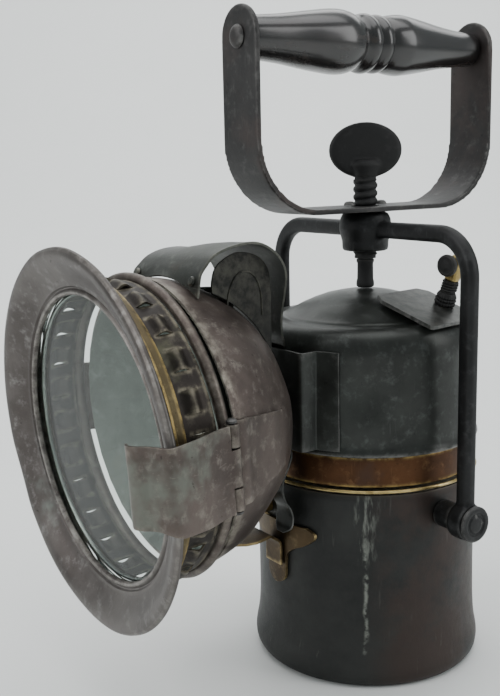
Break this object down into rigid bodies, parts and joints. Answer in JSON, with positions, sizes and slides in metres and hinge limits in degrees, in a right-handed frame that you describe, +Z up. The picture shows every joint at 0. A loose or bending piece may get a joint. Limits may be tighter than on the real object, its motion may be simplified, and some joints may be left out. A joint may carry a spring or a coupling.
{
  "type": "carbide hand lamp",
  "caption": "Acetylene miner's hand lamp: carbide canister, water tank with drip valve, swinging yoke with turned wood grip, louvred bell-shaped lamp head with glass and chimney hood.",
  "frame": {"origin": "centre of the canister's flat base", "axes": "+Z up along the canister's axis, -Y along the beam out of the lamp's bell, +X to the right of someone facing the way +Y points"},
  "size_m": [0.1156, 0.1706, 0.2188],
  "materials": {
    "carbide_canister": "worn dark steel with a soldered seam",
    "canister_rim_bead": "bright rubbed brass",
    "carbide_basket": "tinned sheet",
    "gas_filter": "felt",
    "neck_seal": "soft black seal",
    "tank_seat": "dull brass",
    "neck_band": "copper-brown worn metal",
    "water_tank": "near-black blue-green steel with dents",
    "drip_tube": "dull brass",
    "feed_pipe": "dull brass",
    "valve_deck": "near-black steel",
    "valve_gland": "blackened, knurled",
    "valve_spindle": "blackened thread",
    "valve_handle": "bright rubbed brass",
    "valve_disc": "blackened",
    "tank_socket": "near-black folded sheet",
    "yoke": "blackened forged steel",
    "yoke_rivet_right": "blackened",
    "yoke_rivet_left": "blackened",
    "handle_strap": "dark steel strip with rust",
    "grip_rod": "dark steel rod",
    "wood_grip": "turned wood, black lacquer",
    "strap_rivet_front": "dark steel",
    "strap_rivet_back": "dark steel",
    "pressure_foot": "blackened",
    "thumb_screw": "blackened, cut thread",
    "bell_bezel": "brown-mauve bronze patina, worn grey",
    "front_collar": "dull yellow brass",
    "front_glass": "clear, grey-green",
    "glass_ring": "spring wire",
    "vent_drum": "bronze patina",
    "bowl_bead": "bronze patina",
    "lamp_bowl": "bronze patina",
    "reflector": "polished tinned sheet",
    "chimney": "heat-greyed steel",
    "gas_pipe": "copper",
    "burner_holder": "brass",
    "burner_tip": "unglazed",
    "chimney_hood": "grey-green steel",
    "hood_cheek_right": "grey-green steel",
    "hood_rivet_right": "grey-green steel",
    "hood_rivet_left": "grey-green steel",
    "spring_tongue": "dark spring sheet",
    "bracket_plate": "copper-brown with bright brass edges",
    "cradle_arm": "copper-brown with bright brass edges",
    "clasp_leaf_right": "bronze patina",
    "front_hinge_leaf": "bronze patina",
    "clasp_right": "bronze patina",
    "front_hinge_strap": "bronze patina",
    "clasp_pin_right": "dark steel",
    "front_hinge_pin": "dark steel"
  },
  "bodies": {
    "lamp_body": {"carbide_canister": "carbide_canister", "canister_rim_bead": "canister_rim_bead", "carbide_basket": "carbide_basket", "gas_filter": "gas_filter", "neck_seal": "neck_seal", "tank_seat": "tank_seat", "neck_band": "neck_band", "water_tank": "water_tank", "drip_tube": "drip_tube", "feed_pipe": "feed_pipe", "valve_deck": "valve_deck", "valve_gland": "valve_gland", "tank_socket": "tank_socket", "yoke_rivet_right": "yoke_rivet_right", "yoke_rivet_left": "yoke_rivet_left", "bell_bezel": "bell_bezel", "front_collar": "front_collar", "front_glass": "front_glass", "glass_ring": "glass_ring", "vent_drum": "vent_drum", "bowl_bead": "bowl_bead", "lamp_bowl": "lamp_bowl", "reflector": "reflector", "chimney": "chimney", "gas_pipe": "gas_pipe", "burner_holder": "burner_holder", "burner_tip": "burner_tip", "chimney_hood": "chimney_hood", "hood_cheek_right": "hood_cheek_right", "hood_rivet_right": "hood_rivet_right", "hood_rivet_left": "hood_rivet_left", "spring_tongue": "spring_tongue", "bracket_plate": "bracket_plate", "cradle_arm": "cradle_arm", "clasp_leaf_right": "clasp_leaf_right", "front_hinge_leaf": "front_hinge_leaf", "front_hinge_strap": "front_hinge_strap", "clasp_pin_right": "clasp_pin_right", "front_hinge_pin": "front_hinge_pin"},
    "yoke": {"yoke": "yoke", "handle_strap": "handle_strap", "strap_rivet_front": "strap_rivet_front", "strap_rivet_back": "strap_rivet_back", "grip_rod": "grip_rod"},
    "pressure_foot": {"pressure_foot": "pressure_foot"},
    "thumb_screw": {"thumb_screw": "thumb_screw"},
    "grip": {"wood_grip": "wood_grip"},
    "valve": {"valve_spindle": "valve_spindle", "valve_handle": "valve_handle", "valve_disc": "valve_disc"},
    "clasp_right": {"clasp_right": "clasp_right"}
  },
  "joints": [
    {"name": "yoke_swing", "type": "hinge", "parent": "lamp_body", "child": "yoke", "pos_m": [0, 0, 0.058], "axis": [-1, 0, 0], "range_deg": [-8, 85]},
    {"name": "screw_lift", "type": "slide", "parent": "yoke", "child": "pressure_foot", "axis": [0, 0, 1], "range_m": [0, 0.0104]},
    {"name": "screw_turn", "type": "hinge", "parent": "pressure_foot", "child": "thumb_screw", "pos_m": [0, 0, 0.1383], "axis": [0, 0, 1], "range_deg": [0, 1440]},
    {"name": "grip_spin", "type": "hinge", "parent": "yoke", "child": "grip", "pos_m": [0, 0, 0.2088], "axis": [0, 1, 0], "continuous": true},
    {"name": "valve_turn", "type": "hinge", "parent": "lamp_body", "child": "valve", "pos_m": [0.0247, 0.01299, 0.12342], "axis": [0.3109, 0.0548, 0.9489], "range_deg": [0, 270]},
    {"name": "clasp_right_swing", "type": "hinge", "parent": "lamp_body", "child": "clasp_right", "pos_m": [0.0506, -0.08801, 0.09339], "axis": [0, -0.061, 0.9981], "range_deg": [0, 65]}
  ],
  "couplings": [
    {"joint": "screw_turn", "follows": "screw_lift", "rad_per_m": 2416.6}
  ]
}
